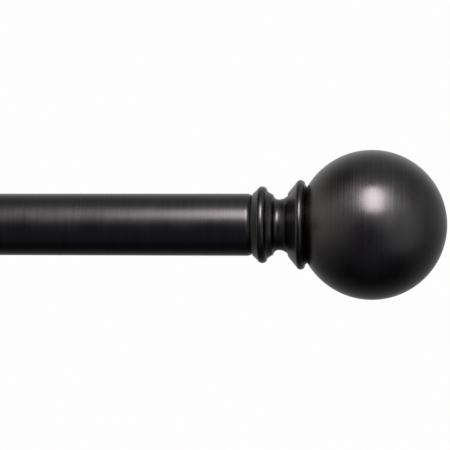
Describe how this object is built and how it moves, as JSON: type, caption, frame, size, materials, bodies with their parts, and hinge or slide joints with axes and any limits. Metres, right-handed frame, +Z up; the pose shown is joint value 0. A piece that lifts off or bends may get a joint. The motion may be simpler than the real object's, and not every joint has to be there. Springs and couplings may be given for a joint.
{
  "type": "curtain rod with brackets",
  "caption": "Telescoping curtain rod with a turned collar and ball finial at each end, held in open cradles on adjustable wall brackets.",
  "frame": {"origin": "on the wall, midway between the two brackets and level with the rod's axis", "axes": "+X along the rod towards the finial on the outer tube's end; +Y into the wall; +Z up"},
  "size_m": [0.9208, 0.1547, 0.074],
  "materials": {
    "rod_metal": "brushed dark bronze, satin",
    "ball_metal": "brushed dark bronze, satin, spun round the ball's axis",
    "collar_metal": "turned dark bronze, satin",
    "bracket_metal": "dark bronze, satin",
    "screw_metal": "dark bronze plated",
    "zinc_steel": "zinc plated",
    "black_nylon": "moulded",
    "trim_plastic": "satin moulded",
    "black_fibre": "matt fibre",
    "grey_nylon": "moulded"
  },
  "bodies": {
    "wall_mounts": {"right_wall_plate": "bracket_metal", "right_arm_socket": "bracket_metal", "right_wall_screws": "screw_metal", "right_wall_anchors": "grey_nylon", "left_wall_plate": "bracket_metal", "left_arm_socket": "bracket_metal", "left_wall_screws": "screw_metal", "left_wall_anchors": "grey_nylon"},
    "right_arm": {"right_arm_post": "bracket_metal", "right_cradle": "bracket_metal"},
    "left_arm": {"left_arm_post": "bracket_metal", "left_cradle": "bracket_metal"},
    "outer_rod": {"outer_tube": "rod_metal", "outer_tube_plug": "black_nylon", "outer_tube_insert": "zinc_steel", "tube_trim_ring": "trim_plastic"},
    "inner_rod": {"inner_tube": "rod_metal", "inner_tube_plug": "black_nylon", "inner_tube_insert": "zinc_steel", "inner_tube_glide": "black_nylon"},
    "right_washer": {"right_finial_washer": "black_fibre"},
    "left_washer": {"left_finial_washer": "black_fibre"},
    "right_finial": {"right_finial_neck": "collar_metal", "right_finial_ball": "ball_metal", "right_ball_boss": "zinc_steel", "right_finial_stud": "zinc_steel"},
    "left_finial": {"left_finial_neck": "collar_metal", "left_finial_ball": "ball_metal", "left_ball_boss": "zinc_steel", "left_finial_stud": "zinc_steel"},
    "right_rod_lock": {"right_rod_lock_screw": "screw_metal"},
    "left_rod_lock": {"left_rod_lock_screw": "screw_metal"},
    "right_projection_lock": {"right_projection_screw": "screw_metal"},
    "left_projection_lock": {"left_projection_screw": "screw_metal"}
  },
  "joints": [
    {"name": "right_arm_projection", "type": "slide", "parent": "wall_mounts", "child": "right_arm", "axis": [0, -1, 0], "range_m": [-0.01, 0.0254]},
    {"name": "left_arm_projection", "type": "slide", "parent": "wall_mounts", "child": "left_arm", "axis": [0, -1, 0], "range_m": [-0.01, 0.0254]},
    {"name": "rod_lift", "type": "slide", "parent": "right_arm", "child": "outer_rod", "axis": [0, 0, 1], "range_m": [0, 0.05]},
    {"name": "rod_telescope", "type": "slide", "parent": "outer_rod", "child": "inner_rod", "axis": [-1, 0, 0], "range_m": [-0.0488, 0.4572]},
    {"name": "right_washer_travel", "type": "slide", "parent": "outer_rod", "child": "right_washer", "axis": [1, 0, 0], "range_m": [0, 0.01411]},
    {"name": "right_finial_unscrew", "type": "hinge", "parent": "right_washer", "child": "right_finial", "pos_m": [0.381, -0.0889, 0], "axis": [1, 0, 0], "range_deg": [0, 3600]},
    {"name": "left_washer_travel", "type": "slide", "parent": "inner_rod", "child": "left_washer", "axis": [-1, 0, 0], "range_m": [0, 0.01411]},
    {"name": "left_finial_unscrew", "type": "hinge", "parent": "left_washer", "child": "left_finial", "pos_m": [-0.381, -0.0889, 0], "axis": [-1, 0, 0], "range_deg": [0, 3600]},
    {"name": "right_rod_lock_turn", "type": "hinge", "parent": "right_arm", "child": "right_rod_lock", "pos_m": [0.2286, -0.1016, 0], "axis": [0, -1, 0], "range_deg": [0, 1440]},
    {"name": "right_projection_lock_turn", "type": "hinge", "parent": "wall_mounts", "child": "right_projection_lock", "pos_m": [0.2286, -0.048, 0], "axis": [0, 0, -1], "range_deg": [0, 720]},
    {"name": "left_rod_lock_turn", "type": "hinge", "parent": "left_arm", "child": "left_rod_lock", "pos_m": [-0.2286, -0.1016, 0], "axis": [0, -1, 0], "range_deg": [0, 1440]},
    {"name": "left_projection_lock_turn", "type": "hinge", "parent": "wall_mounts", "child": "left_projection_lock", "pos_m": [-0.2286, -0.048, 0], "axis": [0, 0, -1], "range_deg": [0, 720]}
  ],
  "couplings": [
    {"joint": "left_arm_projection", "follows": "right_arm_projection", "ratio": 1},
    {"joint": "right_washer_travel", "follows": "right_finial_unscrew", "m_per_rad": 0.00022457},
    {"joint": "left_washer_travel", "follows": "left_finial_unscrew", "m_per_rad": 0.00022457}
  ]
}
